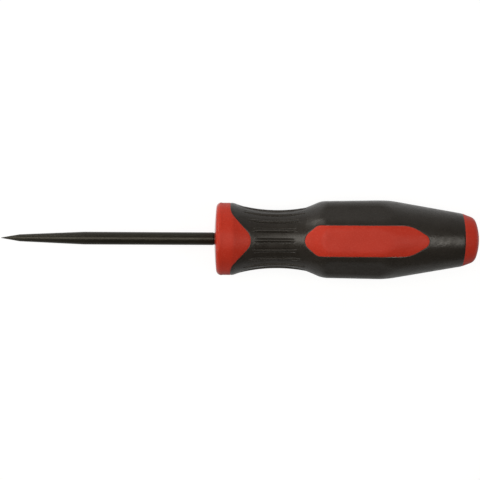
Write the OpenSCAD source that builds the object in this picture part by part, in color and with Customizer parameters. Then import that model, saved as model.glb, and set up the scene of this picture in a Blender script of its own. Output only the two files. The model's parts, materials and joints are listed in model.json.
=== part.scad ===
// Pick scribe: a straight steel spike in a two-colour moulded handle.
// The tool is drawn along the X axis, with its point towards -X and x = 0 at the middle of the
// collar's front face, and is then laid on the floor as it would come to rest.

/* [Blade] */
// Length of steel in front of the handle
blade_len = 94; // [60:1:150]
// Diameter of the round bar
bar_d = 5.6; // [4:0.1:8]
// Length of the ground part, from the point to the full bar
ground_len = 36.6; // [20:0.1:55]
// Length of the sharp cone at the point
cone_len = 8.2; // [4:0.1:14]
// Diameter at the back of the sharp cone
cone_d = 3.1; // [1.6:0.1:3.6]
// Radius of the very point
point_r = 0.15; // [0.05:0.05:0.4]

/* [Tang] */
// Diameter of the tang, which is turned down from the bar
tang_d = 5.2; // [3.6:0.1:5.5]
// Length of tang that shows between the bar's shoulder and the collar
tang_gap = 0.4; // [0.2:0.1:1]
// Length of tang inside the handle
tang_len = 62; // [40:1:90]
// Width across the swaged wings
wing_w = 9.6; // [8.6:0.1:13]
// Length of the wings along the bar
wing_len = 14; // [8:1:20]
// Thickness of the wings
wing_t = 2.4; // [1.6:0.1:3.6]
// Length of round tang behind the wings
wing_inset = 8; // [4:1:12]

/* [Collar] */
// Diameter of the collar
collar_d = 32; // [29:0.5:34]
// Bulge of the front face at its middle
face_bulge = 0.75; // [0.4:0.05:1.6]
// Rounding of the collar's front edge
collar_front_r = 2.2; // [0.6:0.1:2.4]
// Rounding of the collar's back edge, where the neck starts
collar_back_r = 4; // [1:0.5:6]
// Width of the plain red ring behind the front face
ring_len = 7; // [5:0.1:8]
// Reach of the red lobes behind the front face
lobe_len = 15.8; // [13:0.1:17]
// Radius of a lobe's nose
lobe_nose_r = 6; // [3.5:0.1:7]
// Slope of a lobe's sides, from straight across
lobe_slope = 42; // [32:0.1:45]
// Rounding where a lobe leaves the ring
lobe_root_r = 6; // [1:0.5:10]

/* [Neck] */
// Distance of the waist behind the front face
waist_x = 27.3; // [26:0.1:30]
// Diameter at the waist, between the ribs
waist_d = 24.6; // [23:0.1:27]
// Radius of the hollow sweep of the neck, along the handle
sweep_r = 52; // [48:1:58]
// Number of raised ribs around the neck
rib_count = 18; // [10:2:24]
// Distance of the middle of the ribs behind the front face
rib_x = 26.2; // [25.5:0.1:28]
// Height of the ribs
rib_h = 0.6; // [0.2:0.05:0.65]
// Width of the ribs
rib_w = 1.2; // [0.6:0.1:1.8]
// Length of the ribs on the two faces that have windows
rib_face_len = 17.6; // [17:0.1:19]
// Length of the ribs on the two sides
rib_side_len = 32; // [22:0.5:32]

/* [Barrel] */
// Number of soft flats around the barrel
flat_count = 8; // [6:2:10]
// Start of the flats behind the front face
barrel_x = 46.8; // [45:0.1:50]
// Length of the flats
barrel_len = 29.9; // [22:0.1:33]
// Width across the flats at their front end
barrel_front_w = 33.5; // [32:0.1:35]
// Width across the flats at their back end
barrel_back_w = 34.5; // [33:0.1:37]
// Rounding of the corners between the flats
corner_r = 8; // [6:0.5:13]
// Length of the shoulder in front of the flats
shoulder_len = 6.4; // [5:0.1:9]

/* [Butt] */
// Length of the taper behind the flats
taper_len = 32; // [28:0.1:40]
// Diameter of the handle where the red cap starts
cap_d = 23.4; // [21:0.1:26]
// Length of the cap
cap_len = 7.4; // [6.5:0.1:9]
// Slope of the cap's side
cap_slope = 20.7; // [14:0.1:24]
// Rounding of the cap's edge
cap_edge_r = 3.5; // [1:0.1:5]
// Radius of the domed end
dome_r = 23; // [16:0.5:26]

/* [Windows] */
// Width of the two red windows
window_w = 13.5; // [11:0.1:15]
// Reach of a window's front tip ahead of the flats
window_lead = 7.6; // [6:0.1:9]
// Rounding of the front tip
window_nose_r = 4.5; // [1:0.1:5]
// Length from the front tip to the straight sides
window_nose_len = 6.9; // [6:0.1:9]
// Rounding of the front shoulders
window_shoulder_r = 4; // [1:0.5:5]
// Length of the straight sides
window_side_len = 35.9; // [25:0.1:38]
// Length from the straight sides to the back tip
window_tail_len = 10.4; // [8:0.1:12]
// Rounding of the back tip
window_tail_r = 3.8; // [1:0.1:5]
// Rounding of the back shoulders
window_hip_r = 5; // [1:0.5:5]

/* [Walls] */
// Thickness of the soft grip
grip_t = 2.2; // [1.4:0.1:3]

/* [Hidden] */
$fn = 64;
// Reach of a cutting shape past what it cuts
over = 2;
// Depth of a wing's root below the surface of the tang
wing_sink = 0.6;

bar_r = bar_d / 2;
tang_r = tang_d / 2;
collar_r = collar_d / 2;
waist_r = waist_d / 2;
front_r = barrel_front_w / 2;
back_r = barrel_back_w / 2;
cap_r = cap_d / 2;
shoulder_x = barrel_x - shoulder_len;
barrel_end = barrel_x + barrel_len;
cap_x = barrel_end + taper_len;
handle_len = cap_x + cap_len;

// Depth of an arc of radius r over half its chord
function arc_depth(r, half) = r - sqrt(r * r - half * half);
// Radius of the arc that rises by depth over half its chord
function arc_radius(half, depth) = (half * half + depth * depth) / (2 * depth);
// Points on an arc about c, from angle a to angle b
function arc(c, r, a, b, steps) =
    [for (i = [0:steps]) let (t = a + (b - a) * i / steps) c + r * [cos(t), sin(t)]];

// Front face: a shallow dome that runs into the rounded front edge
front_edge_y = collar_r - collar_front_r;
face_r = arc_radius(front_edge_y, face_bulge);
front_edge_x = arc_depth(face_r - collar_front_r, front_edge_y) + collar_front_r;
face_a = atan2(front_edge_y, front_edge_x - face_r);

// Neck: a hollow arc that the rounded back edge of the collar runs into
sweep_c = [waist_x, waist_r + sweep_r];
back_edge_y = collar_r - collar_back_r;
collar_end = waist_x - sqrt(pow(sweep_r + collar_back_r, 2) - pow(sweep_c[1] - back_edge_y, 2));
back_edge_a = atan2(sweep_c[1] - back_edge_y, waist_x - collar_end);
shoulder_a = asin((shoulder_x - waist_x) / sweep_r);
shoulder_r = waist_r + arc_depth(sweep_r, shoulder_x - waist_x);
// Angle along the sweep from the waist to the middle of the ribs
rib_a = asin((rib_x - waist_x) / sweep_r);

// Barrel: reach of its rounded corners, and the turned blank that tops out above them
corner_reach = corner_r + (max(front_r, back_r) - corner_r) / cos(180 / flat_count);
blank_r = corner_reach + 0.2;
shoulder_rise = (front_r - shoulder_r) / shoulder_len;
taper_fall = (back_r - cap_r) / taper_len;

// Butt: the rounded edge touches the cap's sloping side and the domed end
dome_x = handle_len - dome_r;
cap_side = [cos(cap_slope), -sin(cap_slope)];
cap_normal_a = 90 - cap_slope;
// A point cap_edge_r inside the cap's side, seen from the centre of the dome
side_in = [cap_x - dome_x, cap_r] - cap_edge_r * [cos(cap_normal_a), sin(cap_normal_a)];
side_on = side_in * cap_side;
cap_edge_c = side_in
    + cap_side * (sqrt(side_on * side_on - side_in * side_in + pow(dome_r - cap_edge_r, 2)) - side_on);
cap_edge_a = atan2(cap_edge_c[1], cap_edge_c[0]);

// Resting pose: the front end of the collar and the back end of the lower flat touch the floor
rest_tilt = atan2(back_r - collar_r, barrel_end - front_edge_x);
rest_lift = collar_r * cos(rest_tilt) - front_edge_x * sin(rest_tilt);
// Middle of the whole tool along the floor
rest_mid = ((dome_x - blade_len + point_r) * cos(rest_tilt) + dome_r - point_r) / 2;

module laid_down() {
    translate([-rest_mid, 0, rest_lift]) rotate([0, -rest_tilt, 0]) children();
}

// Turns a half section about the X axis: x runs along the tool and y is the radius
module turned(angle = 360) {
    rotate([0, 90, 0]) rotate_extrude(angle = angle) mirror([1, -1]) children();
}

// Blade

module blade_section() {
    polygon(concat(
        arc([-blade_len + point_r, 0], point_r, 180, 102, 4),
        [
            [-blade_len + cone_len, cone_d / 2],
            [-blade_len + ground_len, bar_r],
            [-tang_gap, bar_r],
            [-tang_gap, tang_r],
            [tang_len, tang_r],
            [tang_len, 0],
        ]));
}

// Swaged wings: a plate across the tang, with sloping ends that start below its surface
module tang_wings() {
    slope = (wing_w - tang_d) / 2;
    root_y = tang_r - wing_sink;
    translate([tang_len - wing_inset - wing_len, 0, -wing_t / 2]) linear_extrude(wing_t)
        for (side = [0, 1]) mirror([0, side])
            polygon([
                [0, 0],
                [0, root_y],
                [slope, wing_w / 2],
                [wing_len - slope, wing_w / 2],
                [wing_len, root_y],
                [wing_len, 0],
            ]);
}

module blade_shape() {
    turned() blade_section();
    tang_wings();
}

// Handle

// Half section of the turned blank, from the domed face to the domed butt
module handle_section() {
    polygon(concat(
        arc([face_r, 0], face_r, 180, face_a, 5),
        arc([front_edge_x, front_edge_y], collar_front_r, face_a, 90, 6),
        arc([collar_end, back_edge_y], collar_back_r, 90, back_edge_a, 3),
        arc(sweep_c, sweep_r, 180 + back_edge_a, 270 + shoulder_a, 24),
        [
            [barrel_x + (blank_r - front_r) / shoulder_rise, blank_r],
            [barrel_end - (blank_r - back_r) / taper_fall, blank_r],
            [cap_x, cap_r],
        ],
        arc([dome_x, 0] + cap_edge_c, cap_edge_r, cap_normal_a, cap_edge_a, 4),
        arc([dome_x, 0], dome_r, cap_edge_a, 0, 6)));
}

// Half section of the hard body under the soft grip
module hidden_section() {
    polygon(concat(
        [[front_edge_x, 0], [front_edge_x, collar_r - grip_t]],
        arc(sweep_c, sweep_r + grip_t, 180 + back_edge_a, 270 + shoulder_a, 16),
        [
            [barrel_x, front_r - grip_t],
            [barrel_end, back_r - grip_t],
            [cap_x, cap_r - grip_t],
            [cap_x, 0],
        ]));
}

// Thin slice across the barrel, with rounded corners between its flats
module barrel_slice(x, r) {
    translate([x, 0, 0]) rotate([90, 0, 90]) linear_extrude(0.01)
        offset(corner_r) rotate(180 / flat_count)
            circle((r - corner_r) / cos(180 / flat_count), $fn = flat_count);
}

// Drafted block that gives the barrel its flats, from the waist to past the butt
module barrel_block() {
    draft = (back_r - front_r) / barrel_len;
    hull() {
        barrel_slice(waist_x, front_r - (barrel_x - waist_x) * draft);
        barrel_slice(handle_len + over, back_r + (handle_len + over - barrel_end) * draft);
    }
}

// The whole handle without its ribs
module handle_blank() {
    difference() {
        turned() handle_section();
        difference() {
            translate([waist_x, 0, 0]) rotate([0, 90, 0]) cylinder(h = handle_len, r = blank_r + over);
            barrel_block();
        }
    }
}

// Half section of a rib, whose crest runs into the neck at both ends
module rib_section(len) {
    crest_r = arc_radius(len / 2, arc_depth(sweep_r, len / 2) - rib_h);
    reach = len / 2 + 1;
    crest_a = asin(reach / crest_r);
    translate(sweep_c) rotate(rib_a) polygon(concat(
        arc([0, crest_r + rib_h - sweep_r], crest_r, 270 - crest_a, 270 + crest_a, 8),
        [[reach, -sweep_r - 1], [-reach, -sweep_r - 1]]));
}

module ribs() {
    spread = 2 * asin(rib_w / 2 / waist_r);
    for (i = [0:rib_count - 1]) {
        turn = 360 * i / rib_count;
        rotate([turn - spread / 2, 0, 0]) turned(spread)
            rib_section(rib_face_len + (rib_side_len - rib_face_len) * pow(sin(turn), 2));
    }
}

// Outline of the collar's red area, seen square to a window
module collar_outline() {
    nose_x = lobe_len - lobe_nose_r;
    // Half width at which the lobe's straight sides would meet the front face
    foot_y = (lobe_nose_r + nose_x * cos(lobe_slope)) / sin(lobe_slope);
    offset(-lobe_root_r) offset(delta = lobe_root_r) {
        translate([-over, -collar_d]) square([over + ring_len, 2 * collar_d]);
        hull() {
            translate([nose_x, 0]) circle(lobe_nose_r);
            translate([-over, -foot_y]) square([over, 2 * foot_y]);
        }
    }
}

// Outline of a window, with x = 0 at its front tip
module window_outline() {
    half_w = window_w / 2;
    back_x = window_nose_len + window_side_len;
    hull() {
        translate([window_nose_r, 0]) circle(window_nose_r);
        translate([back_x + window_tail_len - window_tail_r, 0]) circle(window_tail_r);
        for (side = [-1, 1]) {
            translate([window_nose_len, side * (half_w - window_shoulder_r)]) circle(window_shoulder_r);
            translate([back_x, side * (half_w - window_hip_r)]) circle(window_hip_r);
        }
    }
}

// Everything that is red on the surface, cut straight through the handle
module red_zone() {
    translate([0, 0, -collar_d]) linear_extrude(2 * collar_d) {
        collar_outline();
        translate([barrel_x - window_lead, 0]) window_outline();
        translate([cap_x, -collar_d]) square([cap_len + over, 2 * collar_d]);
    }
}

// Sub-parts

module pick_blade() {
    color([0.19, 0.18, 0.15]) laid_down() blade_shape();
}

module handle_core() {
    color([0.71, 0.21, 0.17]) laid_down() difference() {
        union() {
            intersection() {
                handle_blank();
                red_zone();
            }
            turned() hidden_section();
        }
        blade_shape();
    }
}

module soft_grip() {
    color([0.17, 0.16, 0.15]) laid_down() difference() {
        union() {
            handle_blank();
            ribs();
        }
        red_zone();
        turned() hidden_section();
    }
}

pick_blade();
handle_core();
soft_grip();
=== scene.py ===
"""The pick scribe's looks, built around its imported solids.

Lengths are in millimetres in the tool's own frame, as in the part's source: x runs along the tool
and is 0 at the middle of the collar's front face, angle 0 points out of the upper window, and
+90 degrees points to +Y. A place on the handle's skin is (s, angle), where s is x between the two
rounded ends, and the distance travelled along the profile from there on.
"""

import json
import math

import bmesh
import bpy
import numpy as np
from mathutils import Matrix, Vector, geometry, kdtree


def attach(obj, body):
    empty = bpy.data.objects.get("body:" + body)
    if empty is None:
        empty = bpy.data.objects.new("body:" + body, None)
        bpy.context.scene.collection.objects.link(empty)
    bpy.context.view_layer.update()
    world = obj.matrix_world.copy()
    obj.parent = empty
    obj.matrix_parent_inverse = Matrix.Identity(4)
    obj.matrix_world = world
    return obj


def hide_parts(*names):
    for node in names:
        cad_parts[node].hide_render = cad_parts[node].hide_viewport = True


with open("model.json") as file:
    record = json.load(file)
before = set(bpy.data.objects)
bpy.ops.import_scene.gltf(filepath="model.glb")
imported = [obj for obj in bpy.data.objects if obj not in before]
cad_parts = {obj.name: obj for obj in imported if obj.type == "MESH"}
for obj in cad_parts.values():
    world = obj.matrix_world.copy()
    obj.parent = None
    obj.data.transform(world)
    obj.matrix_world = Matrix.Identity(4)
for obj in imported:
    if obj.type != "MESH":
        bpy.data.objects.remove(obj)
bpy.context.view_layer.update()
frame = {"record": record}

MM = 0.001

# Blade
BLADE_LEN, BAR_R, BAR_BEVEL = 94, 2.8, 0.12
GROUND_LEN, CONE_LEN, CONE_R, POINT_R = 36.6, 8.2, 1.55, 0.15
TANG_R, TANG_GAP, TANG_LEN, TANG_BEVEL = 2.6, 0.4, 62, 0.3
WING_HALF_W, WING_LEN, WING_T, WING_INSET, WING_ROOT = 4.8, 14, 2.4, 8, 2.0

# Collar and its lobes
COLLAR_R, FACE_BULGE, FRONT_EDGE_R, BACK_EDGE_R = 16, 0.75, 2.2, 4
RING_LEN, LOBE_LEN, LOBE_NOSE_R, LOBE_SLOPE, LOBE_ROOT_R = 7, 15.8, 6, math.radians(42), 6

# Bore for the tang: its rounded mouth, and the room round the wings
BORE_EDGE, BORE_LEAD, BORE_FLARE = 0.35, 0.6, 0.02
POCKET_GAP = 0.2

# Neck and ribs
WAIST_X, WAIST_R, SWEEP_R, SWEEP_REACH = 27.3, 12.3, 52, 40
RIB_COUNT, RIB_X, RIB_H, RIB_HALF_W, RIB_FACE_LEN, RIB_SIDE_LEN = 18, 26.2, 0.6, 0.6, 17.6, 32
RIB_START = 2

# Crease at a rib's foot. Its place and width are in half widths of a rib, and it is at its full
# depth where the rib is at least as high as CREASE_FULL.
CREASE_DEPTH, CREASE_AT, CREASE_W, CREASE_FULL = 0.22, 1.17, 0.2, 0.2

# Barrel and butt
FLAT_COUNT, BARREL_X, BARREL_LEN, FRONT_R, BACK_R = 8, 46.8, 29.9, 16.75, 17.25
CORNER_R, SHOULDER_LEN, TAPER_LEN, CAP_R, CAP_LEN = 8, 6.4, 32, 11.7, 7.4
CAP_SLOPE, CAP_EDGE_R, DOME_R = math.radians(20.7), 3.5, 23

# Windows
WINDOW_HALF_W, WINDOW_LEAD, WINDOW_SIDE_LEN = 6.75, 7.6, 34.5
WINDOW_NOSE_R, WINDOW_NOSE_LEN, WINDOW_SHOULDER_R = 4.5, 6.9, 4
WINDOW_TAIL_R, WINDOW_TAIL_LEN, WINDOW_HIP_R = 3.2, 12, 14

# Wall between the two materials, and the fine groove where they meet
GRIP_T = 2.2
GROOVE_DEPTH, GROOVE_HALF_W = 0.12, 0.45

# How far the solids' facets cut inside their round ends
FACET_SAG = 0.004

# How widely each surface of the handle is rounded off where it runs into the next
SHOULDER_BLEND, FLAT_BLEND, TAPER_BLEND, CAP_BLEND = 0.35, 0.6, 0.55, 0.06

# How finely the meshes are divided: steps of an arc, spacings, and gaps kept clear beside a line
POINT_STEPS, EDGE_STEPS, WINDOW_STEPS, DOME_STEPS = 5, 10, 12, 14
COLLAR_STEPS, CAP_STEPS, BLADE_SIDES = 360, 240, 96
BLADE_ROW, BLADE_END_ROW, BLADE_SHORT = 4, 0.35, 2
WINDOW_STEP, FINE_ROW, FINE_GAP, END_GAP = 0.25, 0.6, 0.22, 0.3
HIDDEN_ROW, HIDDEN_GAP, HIDDEN_MARGIN, HIDDEN_STEPS = 2.5, 1.0, 3, 48
GROOVE_STEPS = (0.08, 0.2, GROOVE_HALF_W)
SEAM_GAP = 0.004

# Lines of the lattice over half a rib, in half widths from its middle, and steps to the next rib's
RIB_LINES = (0, 0.4, 0.7, 0.88, 0.97, 1.0, 1.09, 1.17, 1.27, 1.4, 1.6, 1.9)
RIB_BETWEEN = 3

# Rounds that bring a point on the skin to where it is asked for, and the radius they start from
ANGLE_ROUNDS, EDGE_ROUNDS, START_R = 30, 40, 17.0

# Radius on which the skin is unrolled for meshing, and the distance at which its points are welded
UNROLL_R, UNROLL_WELD = 15, 1e-7

BARREL_END = BARREL_X + BARREL_LEN
CAP_X = BARREL_END + TAPER_LEN
HANDLE_LEN = CAP_X + CAP_LEN
FRONT_EDGE_Y = COLLAR_R - FRONT_EDGE_R
BACK_EDGE_Y = COLLAR_R - BACK_EDGE_R
SWEEP_Y = WAIST_R + SWEEP_R
SHOULDER_X = BARREL_X - SHOULDER_LEN
SKIN_START, SKIN_END = -math.pi / 2, 1.5 * math.pi


# Curves


def arc(centre, radius, start, end, steps):
    """Points on an arc between two angles in radians."""
    t = np.linspace(start, end, steps + 1)
    return np.stack([centre[0] + radius * np.cos(t), centre[1] + radius * np.sin(t)], 1)


def arc_depth(radius, half):
    """Depth of an arc over half its chord."""
    return radius - np.sqrt(radius**2 - half**2)


def arc_radius(half, depth):
    """Radius of the arc that rises by depth over half its chord."""
    return (half**2 + depth**2) / (2 * depth)


def smooth_min(a, b, width):
    """The lower of two heights, rounded off where they cross."""
    near = np.maximum(width - np.abs(a - b), 0) / width
    return np.minimum(a, b) - near**2 * width / 4


def smooth_max(a, b, width):
    """The higher of two heights, rounded off where they cross."""
    return -smooth_min(-a, -b, width)


def lengths(points):
    """Distance travelled along a polyline at each of its points."""
    return np.concatenate([[0], np.cumsum(np.linalg.norm(np.diff(points, axis=0), axis=1))])


def evenly(points, step):
    """The same polyline with its points about one step apart."""
    along = lengths(points)
    at = np.linspace(0, along[-1], max(2, round(along[-1] / step)) + 1)
    return np.stack([np.interp(at, along, points[:, k]) for k in (0, 1)], 1)


def neighbours(count, closed=True):
    """Index pairs of the points that follow each other along a line."""
    return [(k, (k + 1) % count) for k in range(count if closed else count - 1)]


# The handle's surface


FACE_R = arc_radius(FRONT_EDGE_Y, FACE_BULGE)
FRONT_EDGE_X = arc_depth(FACE_R - FRONT_EDGE_R, FRONT_EDGE_Y) + FRONT_EDGE_R
COLLAR_END = WAIST_X - math.sqrt((SWEEP_R + BACK_EDGE_R) ** 2 - (SWEEP_Y - BACK_EDGE_Y) ** 2)
BACK_EDGE_A = math.atan2(SWEEP_Y - BACK_EDGE_Y, WAIST_X - COLLAR_END)
SHOULDER_R = WAIST_R + arc_depth(SWEEP_R, SHOULDER_X - WAIST_X)
RIB_A = math.asin((RIB_X - WAIST_X) / SWEEP_R)


def front_profile():
    """From the bottom of the bore, past a pocket for the wings, out to the collar's front edge."""
    pocket_end = TANG_LEN - WING_INSET + POCKET_GAP
    pocket_start = pocket_end - WING_LEN - 2 * POCKET_GAP
    pocket_r = WING_HALF_W + POCKET_GAP
    bore = [
        [TANG_LEN, 0],
        [TANG_LEN, TANG_R],
        [pocket_end, TANG_R],
        [pocket_end, pocket_r],
        [pocket_start, pocket_r],
        [pocket_start, TANG_R],
        [BORE_EDGE + BORE_LEAD, TANG_R],
        [BORE_EDGE, TANG_R + BORE_FLARE],
        [BORE_EDGE * 0.3, TANG_R + BORE_EDGE * 0.35],
    ]
    lip_a = math.pi - math.asin((TANG_R + BORE_EDGE) / FACE_R)
    face_edge_a = math.atan2(FRONT_EDGE_Y, FRONT_EDGE_X - FACE_R)
    edge_centre = [FRONT_EDGE_X, FRONT_EDGE_Y]
    face = arc([FACE_R, 0], FACE_R, lip_a, face_edge_a, DOME_STEPS)
    edge = arc(edge_centre, FRONT_EDGE_R, face_edge_a, math.pi / 2, EDGE_STEPS)
    return np.concatenate([bore, face, edge[1:]])


def butt_profile():
    """From the foot of the cap's rounded edge over the dome to its pole."""
    dome_x = HANDLE_LEN - FACET_SAG - DOME_R
    side = np.array([math.cos(CAP_SLOPE), -math.sin(CAP_SLOPE)])
    normal_a = math.pi / 2 - CAP_SLOPE
    normal = np.array([math.cos(normal_a), math.sin(normal_a)])
    under_side = np.array([CAP_X - dome_x, CAP_R]) - CAP_EDGE_R * normal
    along = under_side @ side
    reach = math.sqrt(along**2 - under_side @ under_side + (DOME_R - CAP_EDGE_R) ** 2) - along
    centre = under_side + side * reach
    edge_a = math.atan2(centre[1], centre[0])
    edge = arc([dome_x + centre[0], centre[1]], CAP_EDGE_R, normal_a, edge_a, EDGE_STEPS)
    dome = arc([dome_x, 0], DOME_R, edge_a, 0, DOME_STEPS)
    return np.concatenate([edge, dome[1:]])


FRONT = front_profile()
BUTT = butt_profile()
FRONT_S = FRONT_EDGE_X - lengths(FRONT[::-1])[::-1]
BUTT_S = BUTT[0, 0] + lengths(BUTT)


def flats(x, angle):
    """Reach of the eight soft flats and the rounded corners between them."""
    half_w = FRONT_R + (BACK_R - FRONT_R) / BARREL_LEN * (x - BARREL_X)
    step = 2 * math.pi / FLAT_COUNT
    off = np.abs((angle + step / 2) % step - step / 2)
    corner = (half_w - CORNER_R) / math.cos(step / 2)
    beside_corner = step / 2 - off
    rounded = corner * np.cos(beside_corner) + np.sqrt(
        CORNER_R**2 - (corner * np.sin(beside_corner)) ** 2
    )
    flat_end = np.arctan((half_w - CORNER_R) * math.tan(step / 2) / half_w)
    return np.where(off < flat_end, half_w / np.cos(off), rounded)


def from_waist(x):
    """Distance from the waist, kept within the sweep's reach."""
    return np.clip(x - WAIST_X, -SWEEP_REACH, SWEEP_REACH)


def sweep(x):
    """Radius of the neck's hollow sweep."""
    return WAIST_R + arc_depth(SWEEP_R, from_waist(x))


def ribs(x, angle, sunk):
    """Height of the ribs, whose crests run into the neck at both ends, with a crease at their feet.

    Where the skin stands above the neck's sweep, the ribs are sunk in it by as much.
    """
    step = 2 * math.pi / RIB_COUNT
    turn = np.round(angle / step) * step
    half = (RIB_FACE_LEN + (RIB_SIDE_LEN - RIB_FACE_LEN) * np.sin(turn) ** 2) / 2
    swung = np.arcsin(from_waist(x) / SWEEP_R) - RIB_A
    along = np.clip(SWEEP_R * np.sin(swung), -half, half)
    crest_r = arc_radius(half, arc_depth(SWEEP_R, half) - RIB_H)
    rise = RIB_H + arc_depth(crest_r, along) - arc_depth(SWEEP_R, along)
    rise = np.maximum(0, rise - np.maximum(0, sunk))
    across = np.abs(angle - turn) * WAIST_R / RIB_HALF_W
    bead = np.sqrt(np.maximum(0, 1 - across**2))
    crease = np.exp(-(((across - CREASE_AT) / CREASE_W) ** 2))
    return rise * bead - CREASE_DEPTH * np.minimum(1, rise / CREASE_FULL) * crease


def smooth_skin(x, angle):
    """Radius of the handle without its ribs, from the collar's front edge to the cap's."""
    back_edge = BACK_EDGE_Y + np.sqrt(np.maximum(0, BACK_EDGE_R**2 - (x - COLLAR_END) ** 2))
    edge_end = COLLAR_END + BACK_EDGE_R * math.cos(BACK_EDGE_A)
    neck = np.where(x < COLLAR_END, COLLAR_R, np.where(x < edge_end, back_edge, sweep(x)))
    shoulder = SHOULDER_R + (FRONT_R - SHOULDER_R) / SHOULDER_LEN * (x - SHOULDER_X)
    neck = smooth_max(neck, shoulder, SHOULDER_BLEND)
    taper = BACK_R + (CAP_R - BACK_R) / TAPER_LEN * (x - BARREL_END)
    cap_side = CAP_R - math.tan(CAP_SLOPE) * (x - CAP_X)
    butt = smooth_min(taper, cap_side, CAP_BLEND)
    return smooth_min(smooth_min(neck, flats(x, angle), FLAT_BLEND), butt, TAPER_BLEND)


def skin(x, angle):
    """Radius of the handle with its ribs."""
    bare = smooth_skin(x, angle)
    in_neck = (x > COLLAR_END + RIB_START) & (x < BARREL_X)
    return bare + np.where(in_neck, ribs(x, angle, bare - sweep(x)), 0)


def on_handle(s, angle, inward=0.0, bare=False):
    """Points of the surface at s along the profile and an angle, moved inward towards the axis."""
    x = np.where(s < FRONT_EDGE_X, np.interp(s, FRONT_S, FRONT[:, 0]), s)
    x = np.where(s > BUTT_S[0], np.interp(s, BUTT_S, BUTT[:, 0]), x)
    r = smooth_skin(x, angle) if bare else skin(x, angle)
    r = np.where(s < FRONT_EDGE_X, np.interp(s, FRONT_S, FRONT[:, 1]), r)
    r = np.where(s > BUTT_S[0], np.interp(s, BUTT_S, BUTT[:, 1]), r) - inward
    return np.stack([x, r * np.sin(angle), r * np.cos(angle)], 1)


# Where red and black meet


def angle_at(x, y):
    """Angle on the upper window's side at which the surface is y off the tool's middle plane."""
    angle = np.arcsin(y / START_R)
    for _ in range(ANGLE_ROUNDS):
        angle = np.arcsin(np.clip(y / smooth_skin(x, angle), -1, 1))
    return angle


def lobe_reach(y):
    """x of the collar's red edge at a distance y from the middle plane."""
    c, s = math.cos(LOBE_SLOPE), math.sin(LOBE_SLOPE)
    nose_x = LOBE_LEN - LOBE_NOSE_R
    root_x = RING_LEN + LOBE_ROOT_R
    root_y = (LOBE_NOSE_R + LOBE_ROOT_R + c * (nose_x - root_x)) / s
    nose = nose_x + np.sqrt(np.maximum(0, LOBE_NOSE_R**2 - y**2))
    side = nose_x + (LOBE_NOSE_R - y * s) / c
    root = root_x - np.sqrt(np.maximum(0, LOBE_ROOT_R**2 - (y - root_y) ** 2))
    return np.select(
        [y < LOBE_NOSE_R * s, y < root_y - LOBE_ROOT_R * s, y < root_y],
        [nose, side, root],
        RING_LEN,
    )


def turn_round(steps):
    """Angles all the way round the handle."""
    return np.radians(np.linspace(-90, 270, steps + 1))


def collar_line():
    """(s, angle) of the collar's red edge all the way round."""
    angle = turn_round(COLLAR_STEPS)
    x = np.full_like(angle, RING_LEN)
    for _ in range(EDGE_ROUNDS):
        x = 0.5 * x + 0.5 * lobe_reach(np.abs(smooth_skin(x, angle) * np.sin(angle)))
    return np.stack([x, angle], 1)


def cap_line():
    """(s, angle) of the butt cap's edge all the way round."""
    angle = turn_round(CAP_STEPS)
    return np.stack([np.full_like(angle, CAP_X), angle], 1)


def window_end(tip_r, reach, corner_r):
    """Quarter outline of a window's end, from its tip at x = 0 to the straight side at reach."""
    tip, corner = np.array([tip_r, 0]), np.array([reach, WINDOW_HALF_W - corner_r])
    gap = corner - tip
    tangent = math.atan2(gap[1], gap[0]) + math.acos((tip_r - corner_r) / np.hypot(*gap))
    nose = arc(tip, tip_r, math.pi, tangent, WINDOW_STEPS)
    return np.concatenate([nose, arc(corner, corner_r, tangent, math.pi / 2, WINDOW_STEPS)])


def window_outline():
    """(x, y) round a window, seen square to it, from the front tip over the +Y side and back."""
    front = BARREL_X - WINDOW_LEAD
    back = front + WINDOW_NOSE_LEN + WINDOW_SIDE_LEN + WINDOW_TAIL_LEN
    nose = window_end(WINDOW_NOSE_R, WINDOW_NOSE_LEN, WINDOW_SHOULDER_R) + [front, 0]
    tail = [back, 0] + window_end(WINDOW_TAIL_R, WINDOW_TAIL_LEN, WINDOW_HIP_R) * [-1, 1]
    half = evenly(np.concatenate([nose, tail[::-1]]), WINDOW_STEP)
    return np.concatenate([half, half[-2:0:-1] * [1, -1]])


def window_loops():
    """(s, angle) round the upper and the lower window."""
    x, y = window_outline().T
    angle = angle_at(x, y)
    return [np.stack([x, angle], 1), np.stack([x, math.pi - angle], 1)]


def beside(line, closed, off):
    """The same line moved sideways over the surface by off."""
    x, angle = line[:, 0], line[:, 1]
    r = smooth_skin(x, angle)
    if closed:
        dx = np.roll(x, -1) - np.roll(x, 1)
        da = np.roll(angle, -1) - np.roll(angle, 1)
    else:
        dx, da = np.gradient(x), np.gradient(angle)
        dx[[0, -1]] = 0
    span = np.hypot(dx, da * r)
    return np.stack([x - da * r / span * off, angle + dx / span * off / r], 1)


# Each edge of the red, and whether it closes on itself in (s, angle)
WINDOWS = window_loops()
RED_LINES = [(collar_line(), False), (cap_line(), False)] + [(loop, True) for loop in WINDOWS]


def inside(points, loop):
    """Which of the points lie in a closed loop."""
    hit = np.zeros(len(points), bool)
    x, y = points[:, 0], points[:, 1]
    for (x0, y0), (x1, y1) in zip(loop, np.roll(loop, -1, axis=0)):
        if y0 != y1:
            crosses = (y0 > y) != (y1 > y)
            hit ^= crosses & (x < x0 + (y - y0) * (x1 - x0) / (y1 - y0))
    return hit


def is_red(points):
    """Which (s, angle) points lie on the hard red body."""
    s, angle = points[:, 0], points[:, 1]
    collar = RED_LINES[0][0]
    red = (s < np.interp(angle, collar[:, 1], collar[:, 0])) | (s > CAP_X)
    for loop in WINDOWS:
        near = (s > loop[:, 0].min()) & (s < loop[:, 0].max())
        red[near] |= inside(points[near], loop)
    return red


# Meshes


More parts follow.
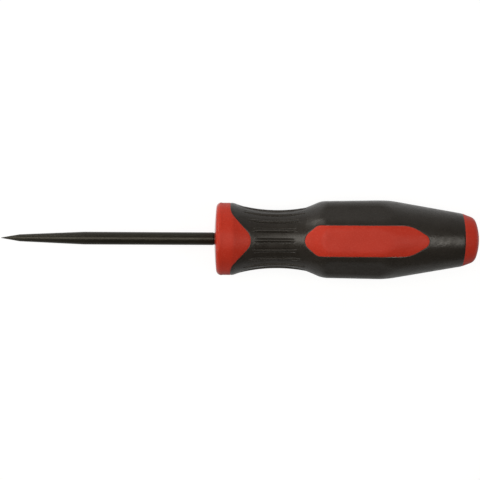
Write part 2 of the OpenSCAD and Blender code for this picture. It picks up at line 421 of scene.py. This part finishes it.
def rib_angles():
    """Angles of the lattice lines: close together over each rib, and wider apart between them."""
    step = 2 * math.pi / RIB_COUNT
    over = np.array(RIB_LINES) * (RIB_HALF_W / WAIST_R)
    between = np.linspace(over[-1], step / 2, RIB_BETWEEN + 1)[1:]
    side = np.concatenate([over, between])
    one = np.unique(np.round(np.concatenate([-side, side]), 9))[1:]
    first = math.ceil(SKIN_START / step)
    angle = np.concatenate([turn * step + one for turn in range(first, first + RIB_COUNT)])
    angle = angle[(angle > SKIN_START + SEAM_GAP) & (angle < SKIN_END - SEAM_GAP)]
    return np.concatenate([[SKIN_START], angle, [SKIN_END]])


def lattice(rows, angles):
    """(s, angle) points where rows and angles cross."""
    s, a = np.meshgrid(rows, angles, indexing="ij")
    return np.stack([s.ravel(), a.ravel()], 1)


def away_from(points, lines, gap):
    """The points that keep a gap from every line, measured on the unrolled surface."""
    flat = np.concatenate([line for line, _ in lines]) * [1, UNROLL_R]
    tree = kdtree.KDTree(len(flat))
    for k, (s, v) in enumerate(flat):
        tree.insert((s, v, 0), k)
    tree.balance()
    keep = [tree.find((s, v * UNROLL_R, 0))[2] > gap for s, v in points]
    return points[np.array(keep)]


def triangulate(points, lines):
    """Triangles over (s, angle) points, with an edge along each line.

    Returns the points, the triangles, and the input points that each point comes from.
    """
    verts, edges, count = [points], [], len(points)
    for line, closed in lines:
        edges += [(count + k, count + j) for k, j in neighbours(len(line), closed)]
        verts.append(line)
        count += len(line)
    flat = np.concatenate(verts) * [1, UNROLL_R]
    out = geometry.delaunay_2d_cdt([Vector(p) for p in flat], edges, [], 0, UNROLL_WELD)
    points = np.array([tuple(p) for p in out[0]]) / [1, UNROLL_R]
    tris = np.array([f for f in out[2]])
    a, b, c = (points[tris[:, k]] for k in range(3))
    turn = (b - a)[:, 0] * (c - a)[:, 1] - (b - a)[:, 1] * (c - a)[:, 0]
    tris[turn < 0] = tris[turn < 0][:, ::-1]
    return points, tris, out[3]


def fine_surface():
    """The handle's outside: points, triangles, which of those are red, and the groove's depth."""
    lines, depths = list(RED_LINES), [GROOVE_DEPTH] * len(RED_LINES)
    for off in GROOVE_STEPS:
        for way in (-off, off):
            lines += [(beside(line, closed, way), closed) for line, closed in RED_LINES]
            depths += [GROOVE_DEPTH * (1 - off / GROOVE_HALF_W) ** 2] * len(RED_LINES)
    middle_rows = np.arange(FRONT_EDGE_X + FINE_ROW, BUTT_S[0] - END_GAP, FINE_ROW)
    rows = np.concatenate([FRONT_S, middle_rows, BUTT_S])
    grid = away_from(lattice(rows, rib_angles()), lines, FINE_GAP)
    points, tris, sources = triangulate(grid, lines)
    on_lines = [np.full(len(line), depth) for (line, _), depth in zip(lines, depths)]
    given = np.concatenate([np.zeros(len(grid)), *on_lines])
    depth = np.array([given[source[0]] if source else 0 for source in sources])
    return points, tris, is_red(points[tris].mean(1)), depth


def hidden_surface():
    """The plain wall between the hard body and the soft grip, with the same edges."""
    rows = np.arange(RING_LEN - HIDDEN_MARGIN, CAP_X + HIDDEN_MARGIN, HIDDEN_ROW)
    grid = away_from(lattice(rows, turn_round(HIDDEN_STEPS)), RED_LINES, HIDDEN_GAP)
    points, tris, _ = triangulate(grid, RED_LINES)
    return points, tris[~is_red(points[tris].mean(1))]


def walls():
    """Strips that join the outside to the hidden wall along each line."""
    rims, tris, count = [], [], 0
    for line, closed in RED_LINES:
        rims += [on_handle(*line.T, GROOVE_DEPTH), on_handle(*line.T, GRIP_T, bare=True)]
        low = count + len(line)
        for k, j in neighbours(len(line), closed):
            tris += [(count + k, low + k, count + j), (count + j, low + k, low + j)]
        count = low + len(line)
    return np.concatenate(rims), np.array(tris)


def tool_matrix():
    """Places the tool's own frame in the row, from the stated shank in front of the collar."""
    shank = next(m for m in frame["record"]["mounts"] if m["name"] == "shank")
    out = Vector(shank["axis"]).normalized()
    half = shank["dims"]["length_mm"] / 2 * MM
    face = Vector(shank["pos_m"]) - out * (half + TANG_GAP * MM)
    x_axis, y_axis = -out, Vector((0, 1, 0))
    turn = Matrix((x_axis, y_axis, x_axis.cross(y_axis))).transposed()
    return Matrix.Translation(face) @ turn.to_4x4()


TOOL = tool_matrix()


def weld(parts):
    """One set of points and triangles from several, joined where points fall together."""
    points, tris, count = [], [], 0
    for part_points, part_tris in parts:
        points.append(part_points)
        tris.append(part_tris + count)
        count += len(part_points)
    points, tris = np.concatenate(points), np.concatenate(tris)
    _, first, index = np.unique(
        np.round(points, 4), axis=0, return_index=True, return_inverse=True
    )
    tris = index.reshape(-1)[tris]
    a, b, c = tris.T
    tris = tris[(a != b) & (b != c) & (c != a)]
    used, tris = np.unique(tris, return_inverse=True)
    return points[first][used], tris.reshape(-1, 3)


def make_piece(name, parts, material, sharp=40):
    """One closed mesh that stands for the CAD node of its name. Edges over sharp degrees stay."""
    points, tris = weld(parts)
    mesh = bpy.data.meshes.new(name)
    mesh.from_pydata((points * MM).tolist(), [], tris.tolist())
    mesh.transform(TOOL)
    bm = bmesh.new()
    bm.from_mesh(mesh)
    bmesh.ops.recalc_face_normals(bm, faces=bm.faces)
    bm.to_mesh(mesh)
    bm.free()
    mesh.polygons.foreach_set("use_smooth", [True] * len(mesh.polygons))
    mesh.set_sharp_from_angle(angle=math.radians(sharp))
    mesh.materials.append(material)
    piece = bpy.data.objects.new(name, mesh)
    bpy.context.scene.collection.objects.link(piece)
    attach(piece, "root")
    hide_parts(name)


# Blade


def blade_profile():
    """(x, radius) from the very point to the tang's end, with close rows at changes of slope."""
    cone_a = math.pi / 2 + math.atan2(CONE_R - POINT_R, CONE_LEN - POINT_R)
    point_x = POINT_R - BLADE_LEN + FACET_SAG
    corners = [
        [CONE_LEN - BLADE_LEN, CONE_R],
        [GROUND_LEN - BLADE_LEN, BAR_R],
        [-TANG_GAP - BAR_BEVEL, BAR_R],
        [-TANG_GAP, BAR_R - BAR_BEVEL],
        [-TANG_GAP, TANG_R],
        [TANG_LEN - TANG_BEVEL, TANG_R],
        [TANG_LEN, TANG_R - TANG_BEVEL],
        [TANG_LEN, 0],
    ]
    point = arc([point_x, 0], POINT_R, math.pi, cone_a, POINT_STEPS)
    path = np.concatenate([point, corners])
    rows = [path[0]]
    for a, b in zip(path[:-1], path[1:]):
        span = np.linalg.norm(b - a)
        if span > BLADE_SHORT:
            near = BLADE_END_ROW / span
            between = np.linspace(0, 1, int(span / BLADE_ROW) + 2)[1:-1]
            rows += [a + (b - a) * t for t in (near, *between, 1 - near)]
        rows.append(b)
    return np.array(rows)


def lathe(profile, sides):
    """Points and triangles of a profile turned once round, closed at both ends on the axis."""
    angle = np.linspace(0, 2 * math.pi, sides, endpoint=False)
    x = np.repeat(profile[:, 0], sides)
    r = np.repeat(profile[:, 1], sides)
    a = np.tile(angle, len(profile))
    tris = []
    for p in range(0, (len(profile) - 1) * sides, sides):
        q = p + sides
        for k, j in neighbours(sides):
            tris += [(p + k, q + k, q + j), (p + k, q + j, p + j)]
    return np.stack([x, r * np.sin(a), r * np.cos(a)], 1), np.array(tris)


def wings():
    """The swaged plate on the hidden tang."""
    slope = WING_HALF_W - TANG_R
    start = TANG_LEN - WING_INSET - WING_LEN
    half = [
        [start, WING_ROOT],
        [start + slope, WING_HALF_W],
        [start + WING_LEN - slope, WING_HALF_W],
        [start + WING_LEN, WING_ROOT],
    ]
    outline = half + [[x, -y] for x, y in half[::-1]]
    n = len(outline)
    points = np.array([[x, y, z] for z in (WING_T / 2, -WING_T / 2) for x, y in outline])
    tris = [(0, k, k + 1) for k in range(1, n - 1)]
    tris += [(n, n + k + 1, n + k) for k in range(1, n - 1)]
    for k, j in neighbours(n):
        tris += [(k, n + k, n + j), (k, n + j, j)]
    return points, np.array(tris)


# Materials


# Red plastic, black rubber and black oxide: two clouded base tones, then what lies over them
RED_DEEP, RED_FULL, RED_SPECK = (0.465, 0.030, 0.014), (0.51, 0.035, 0.017), (0.535, 0.053, 0.032)
RUBBER_DEEP, RUBBER_FULL = (0.021, 0.018, 0.0152), (0.027, 0.0235, 0.020)
RUBBER_GRAIN = (0.05, 0.044, 0.037)
OXIDE_DEEP, OXIDE_FULL = (0.010, 0.0095, 0.007), (0.015, 0.014, 0.010)
# The second of these greys lightens the point: partly wear, partly a painted highlight
OXIDE_DRAWN, OXIDE_WORN_AND_HIGHLIGHT, OXIDE_TINT = (0.045, 0.041, 0.031), (0.12, 0.115, 0.1), (1, 0.97, 0.85)
FLOOR_DEEP, FLOOR_FULL = (0.15, 0.15, 0.15), (0.16, 0.16, 0.16)
BLACK, WHITE = (0, 0, 0), (1, 1, 1)

# The collar's front edge is glossy up to GLOSS_END, and matt from MATT_START on
GLOSS_END, MATT_START = 1.9, 2.6

# Where the grinding marks take over from the bar's draw marks, and where the lighter tone towards
# the point ends, which is partly wear and partly a painted highlight
MARKS_START, MARKS_END = GROUND_LEN - BLADE_LEN - 2, GROUND_LEN - BLADE_LEN + 1
WEAR_AND_HIGHLIGHT_START, WEAR_AND_HIGHLIGHT_END = CONE_LEN - BLADE_LEN, GROUND_LEN - BLADE_LEN + 8

# The floor's glow: how far from the tool it starts and stops fading, and half the width over which
# the share thrown back changes from the -Y side's to the +Y side's
FADE_START, FADE_END, THROWN_HALF_W = 155, 480, 20


def map_range(tree, value, low, high, to_low, to_high):
    """A value brought from one range to another, in any node tree."""
    made = tree.nodes.new("ShaderNodeMapRange")
    made.inputs["From Min"].default_value = low
    made.inputs["From Max"].default_value = high
    made.inputs["To Min"].default_value = to_low
    made.inputs["To Max"].default_value = to_high
    tree.links.new(value, made.inputs["Value"])
    return made.outputs["Result"]


class Shader:
    """A material's node tree, with the few node patterns that the pieces share."""

    def __init__(self, name, values):
        self.material = bpy.data.materials.new(name)
        self.material.use_nodes = True
        self.tree = self.material.node_tree
        self.inputs = self.tree.nodes["Principled BSDF"].inputs
        for key, value in values.items():
            self.feed(self.inputs[key], value)

    def node(self, kind, **values):
        made = self.tree.nodes.new(kind)
        for key, value in values.items():
            setattr(made, key, value)
        return made

    def feed(self, socket, value):
        """Links a socket to another node's output, or gives it a number or a colour."""
        if isinstance(value, bpy.types.NodeSocket):
            self.tree.links.new(value, socket)
        else:
            socket.default_value = (*value, 1) if isinstance(value, tuple) else value

    def coords(self, stretch=(1, 1, 1)):
        """The tool's own coordinates in millimetres, stretched."""
        place = self.node("ShaderNodeTexCoord")
        mapping = self.node("ShaderNodeMapping", vector_type="TEXTURE")
        mapping.inputs["Location"].default_value = TOOL.translation
        mapping.inputs["Rotation"].default_value = TOOL.to_euler()
        mapping.inputs["Scale"].default_value = [MM / k for k in stretch]
        self.feed(mapping.inputs["Vector"], place.outputs["Object"])
        return mapping.outputs["Vector"]

    def coord(self, axis):
        """One of the tool's own coordinates in millimetres."""
        split = self.node("ShaderNodeSeparateXYZ")
        self.feed(split.inputs["Vector"], self.coords())
        return split.outputs[axis]

    def noise(self, scale, detail=3.0, rough=0.55, stretch=(1, 1, 1)):
        made = self.node("ShaderNodeTexNoise")
        made.inputs["Scale"].default_value = scale
        made.inputs["Detail"].default_value = detail
        made.inputs["Roughness"].default_value = rough
        self.feed(made.inputs["Vector"], self.coords(stretch))
        return made.outputs["Fac"]

    def remap(self, value, low, high, to_low, to_high):
        return map_range(self.tree, value, low, high, to_low, to_high)

    def ramp(self, value, low, low_colour, high, high_colour):
        """Runs from one colour to another as a value goes from low to high."""
        made = self.node("ShaderNodeValToRGB")
        stops = ((low, low_colour), (high, high_colour))
        for element, (place, colour) in zip(made.color_ramp.elements, stops):
            element.position = place
            element.color = (*colour, 1)
        self.feed(made.inputs["Fac"], value)
        return made.outputs["Color"]

    def blend(self, factor, a, b):
        """Blends two numbers by a factor."""
        made = self.node("ShaderNodeMix", data_type="FLOAT")
        for k, value in ((0, factor), (2, a), (3, b)):
            self.feed(made.inputs[k], value)
        return made.outputs[0]

    def mix(self, factor, a, b):
        """Blends two colours by a factor."""
        made = self.node("ShaderNodeMix", data_type="RGBA")
        for k, value in ((0, factor), (6, a), (7, b)):
            self.feed(made.inputs[k], value)
        return made.outputs[2]

    def dust(self, colour, value, low, high, over):
        """Lays a second colour over the first where a value is high."""
        return self.mix(self.ramp(value, low, BLACK, high, WHITE), colour, over)

    def bumps(self, *layers):
        """A chain of bump nodes from (height, depth in millimetres) pairs."""
        normal = None
        for height, depth in layers:
            made = self.node("ShaderNodeBump")
            made.inputs["Strength"].default_value = 1
            made.inputs["Distance"].default_value = depth * MM
            self.feed(made.inputs["Height"], height)
            if normal:
                self.feed(made.inputs["Normal"], normal)
            normal = made.outputs["Normal"]
        self.feed(self.inputs["Normal"], normal)


def red_plastic():
    """Satin moulded plastic with faint clouds and specks, glossy on the collar's front edge."""
    s = Shader("moulded_red", {"IOR": 1.2, "Specular IOR Level": 0.75})
    colour = s.ramp(s.noise(0.09, detail=2), 0.3, RED_DEEP, 0.7, RED_FULL)
    colour = s.dust(colour, s.noise(1.7, rough=0.6), 0.5, 0.75, RED_SPECK)
    s.feed(s.inputs["Base Color"], colour)
    past_gloss = s.remap(s.coord("X"), GLOSS_END, MATT_START, 0, 1)
    matt = s.remap(s.noise(0.5, detail=4), 0.3, 0.7, 0.38, 0.48)
    s.feed(s.inputs["Roughness"], s.blend(past_gloss, 0.1, matt))
    s.bumps((s.noise(0.35), 0.035), (s.noise(5.5, detail=2), 0.007))
    return s.material


def soft_rubber():
    """Soft-touch rubber with a fine grain and a slightly uneven, moulded surface."""
    s = Shader("soft_grip_rubber", {"IOR": 1.25, "Specular IOR Level": 0.95})
    grain = s.noise(3, rough=0.65)
    colour = s.ramp(s.noise(0.12), 0.3, RUBBER_DEEP, 0.7, RUBBER_FULL)
    colour = s.dust(colour, grain, 0.55, 0.75, RUBBER_GRAIN)
    s.feed(s.inputs["Base Color"], colour)
    s.feed(s.inputs["Roughness"], s.remap(s.noise(0.35), 0.35, 0.65, 0.24, 0.36))
    s.bumps((s.noise(0.3), 0.11), (grain, 0.01))
    return s.material


def black_oxide():
    """Black oxide steel: draw marks along the bar, grinding marks round the point, and a lighter
    tone towards the point that is partly wear and partly a painted highlight.
    """
    values = {
        "Anisotropic": 0.8,
        "Anisotropic Rotation": 0.25,
        "Metallic": 0.1,
        "IOR": 1.35,
        "Specular IOR Level": 0.65,
        "Specular Tint": OXIDE_TINT,
    }
    s = Shader("black_oxide_steel", values)
    cloud = s.noise(0.25, stretch=(0.4, 1, 1))
    drawn = s.noise(6, rough=0.6, stretch=(0.04, 1, 1))
    ground = s.noise(7, detail=2, rough=0.6, stretch=(1, 0.06, 0.06))
    on_bar = s.remap(s.coord("X"), MARKS_START, MARKS_END, 0, 1)
    # Partly painted highlight: towards the point the oxide is mixed with a light steel grey, partly
    # for wear and partly to brighten the point's highlight
    worn_and_highlight = s.remap(s.coord("X"), WEAR_AND_HIGHLIGHT_START, WEAR_AND_HIGHLIGHT_END, 0.14, 0)
    colour = s.ramp(cloud, 0.3, OXIDE_DEEP, 0.7, OXIDE_FULL)
    colour = s.mix(s.remap(drawn, 0.35, 0.75, 0, 0.3), colour, OXIDE_DRAWN)
    s.feed(s.inputs["Base Color"], s.mix(worn_and_highlight, colour, OXIDE_WORN_AND_HIGHLIGHT))
    s.feed(s.inputs["Roughness"], s.remap(cloud, 0.3, 0.7, 0.36, 0.44))
    around = s.node("ShaderNodeTangent", direction_type="RADIAL", axis="X")
    s.feed(s.inputs["Tangent"], around.outputs["Tangent"])
    s.bumps((s.blend(on_bar, ground, drawn), 0.012))
    return s.material


def floor_finish():
    """A pale table whose glow fades well away from the tool.

    It looks equally white everywhere near the tool, but throws less light back on the -Y side.
    """
    values = {"Roughness": 0.8, "Specular IOR Level": 0.1, "Emission Color": WHITE}
    s = Shader("pale_floor", values)
    colour = s.ramp(s.noise(0.004, detail=2), 0.3, FLOOR_DEEP, 0.7, FLOOR_FULL)
    s.feed(s.inputs["Base Color"], colour)
    away = s.node("ShaderNodeVectorMath", operation="LENGTH")
    s.feed(away.inputs[0], s.coords())
    fade = s.remap(away.outputs["Value"], FADE_START, FADE_END, 0.9, 0.4)
    thrown = s.remap(s.coord("Y"), -THROWN_HALF_W, THROWN_HALF_W, 0.42, 0.75)
    seen = s.node("ShaderNodeLightPath").outputs["Is Camera Ray"]
    glow = s.node("ShaderNodeMath", operation="MULTIPLY")
    s.feed(glow.inputs[0], fade)
    s.feed(glow.inputs[1], s.blend(seen, thrown, 1))
    s.feed(s.inputs["Emission Strength"], glow.outputs["Value"])
    return s.material


# Pieces


def build_handle():
    """The hard core and the soft grip, which share their border and the wall under the grip."""
    points, tris, red, depth = fine_surface()
    outside = on_handle(*points.T, depth)
    hidden_points, hidden_tris = hidden_surface()
    hidden = on_handle(*hidden_points.T, GRIP_T, bare=True)
    shared = [(hidden, hidden_tris), walls()]
    make_piece("handle_core", [(outside, tris[red]), *shared], red_plastic())
    make_piece("soft_grip", [(outside, tris[~red]), *shared], soft_rubber())


def build_blade():
    bar = lathe(blade_profile(), BLADE_SIDES)
    make_piece("pick_blade", [bar, wings()], black_oxide(), sharp=30)


# Stage


# Camera, in millimetres from the tool's axis, and the photograph's own frame in pixels
CAMERA_DISTANCE, VIEW_X, AXIS_RISE = 565, 11.2, 0.5
VIEW_ROLL, VIEW_TURN = math.radians(3), math.radians(0.28)
LENS_PX, FRAME_PX, SENSOR_MM = 1282.5, 480, 36

# Lights and floor, in metres. Each light: name, place, target, (width, height), watts
FLOOR_HALF = 2.0
WARM = (1, 0.955, 0.87)
LIGHTS = (
    ("low_panel", (-0.93, 0.27, 0.36), (0, 0, 0.02), (1.9, 0.24), 6.6),
    ("high_panel", (-0.37, 0.05, 0.93), (0, 0, 0.02), (0.5, 0.4), 2.9),
    ("overhead", (0, 0.1, 1.0), (0, 0, 0.02), (0.6, 0.45), 1.9),
    ("narrow_strip", (0.5, -0.05, 0.87), (0.06, 0, 0.02), (0.42, 0.16), 1.9),
)

# The studio round the stage: along each axis of a direction, from and to, and the two shares
STUDIO = (("Z", 0.2, 0.75, 0.45, 0.1), ("Y", -0.6, 0.6, 0.12, 1))


def build_floor():
    mesh = bpy.data.meshes.new("floor")
    low, high = -FLOOR_HALF, FLOOR_HALF
    corners = [(low, low, 0), (high, low, 0), (high, high, 0), (low, high, 0)]
    mesh.from_pydata(corners, [], [(0, 1, 2, 3)])
    mesh.materials.append(floor_finish())
    floor = bpy.data.objects.new("floor", mesh)
    bpy.context.scene.collection.objects.link(floor)


def add_light(name, place, target, size, power):
    data = bpy.data.lights.new(name, "AREA")
    data.shape = "RECTANGLE"
    data.size, data.size_y = size
    data.energy = power
    data.color = WARM
    light = bpy.data.objects.new(name, data)
    light.location = place
    light.rotation_euler = (Vector(target) - Vector(place)).to_track_quat("-Z", "Y").to_euler()
    bpy.context.scene.collection.objects.link(light)


def build_lights():
    for light in LIGHTS:
        add_light(*light)


def build_world():
    """A grey studio: bright along the horizon on the +Y side, dark overhead and towards -Y."""
    world = bpy.data.worlds.new("studio")
    world.use_nodes = True
    tree = world.node_tree
    back = tree.nodes["Background"]
    place = tree.nodes.new("ShaderNodeTexCoord")
    split = tree.nodes.new("ShaderNodeSeparateXYZ")
    blend = tree.nodes.new("ShaderNodeMath")
    blend.operation = "MULTIPLY"
    tree.links.new(place.outputs["Generated"], split.inputs["Vector"])
    for k, (axis, *limits) in enumerate(STUDIO):
        tree.links.new(map_range(tree, split.outputs[axis], *limits), blend.inputs[k])
    tree.links.new(blend.outputs["Value"], back.inputs["Strength"])
    back.inputs["Color"].default_value = (*WHITE, 1)
    bpy.context.scene.world = world
    bpy.context.scene.view_settings.view_transform = "Standard"


def build_camera():
    """Looks square onto the tool's axis, turned a little round it and in the picture."""
    out = TOOL.to_3x3() @ Vector((0, math.sin(VIEW_ROLL), math.cos(VIEW_ROLL)))
    right = Matrix.Rotation(VIEW_TURN, 3, out) @ TOOL.to_3x3() @ Vector((1, 0, 0))
    up = out.cross(right)
    data = bpy.data.cameras.new("camera")
    data.sensor_width = SENSOR_MM
    data.lens = LENS_PX * data.sensor_width / FRAME_PX
    data.clip_start, data.clip_end = 0.01, 20
    camera = bpy.data.objects.new("camera", data)
    aim = TOOL @ Vector((VIEW_X * MM, 0, 0))
    place = aim + out * CAMERA_DISTANCE * MM - up * AXIS_RISE * MM
    turn = Matrix((right, up, out)).transposed().to_4x4()
    camera.matrix_world = Matrix.Translation(place) @ turn
    bpy.context.scene.collection.objects.link(camera)
    bpy.context.scene.camera = camera


build_camera()
build_handle()
build_blade()
build_floor()
build_world()
build_lights()
